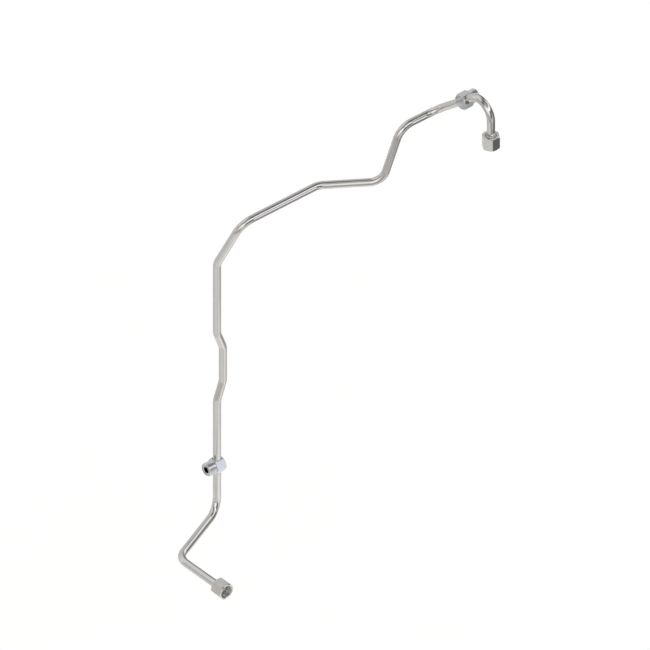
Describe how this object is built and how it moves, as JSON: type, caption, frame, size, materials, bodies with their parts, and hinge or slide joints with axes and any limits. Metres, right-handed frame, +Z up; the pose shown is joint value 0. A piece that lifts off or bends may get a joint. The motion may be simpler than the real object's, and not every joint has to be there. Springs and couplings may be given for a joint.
{
  "type": "hydraulic oil line",
  "caption": "Rigid bent steel hydraulic line with brazed branch tees and flat-faced swivel nut ends.",
  "frame": {"origin": "centre of the lower sleeve's seal face, on the axis of the lower nut", "axes": "-Y out of the lower port, +Z up along the risers, +X along the level long run towards the upper port"},
  "size_m": [0.4797, 0.2456, 0.7091],
  "materials": {
    "tube": "drawn steel tube, bright plated, satin",
    "tee": "machined from bar, bright plated",
    "sleeve": "turned, bright plated",
    "nut": "machined from bar, bright plated, satin"
  },
  "bodies": {
    "line": {"lower_tube": "tube", "middle_tube": "tube", "upper_tube": "tube", "lower_tee": "tee", "upper_tee": "tee", "lower_sleeve": "sleeve", "upper_sleeve": "sleeve"},
    "lower_nut": {"lower_nut": "nut"},
    "upper_nut": {"upper_nut": "nut"}
  },
  "joints": [
    {"name": "lower_nut_swivel", "type": "hinge", "parent": "line", "child": "lower_nut", "pos_m": [0, 0, 0], "axis": [0, 1, 0], "continuous": true},
    {"name": "upper_nut_swivel", "type": "hinge", "parent": "line", "child": "upper_nut", "pos_m": [0.44513, -0.07081, 0.62965], "axis": [0, 0, 1], "continuous": true}
  ]
}
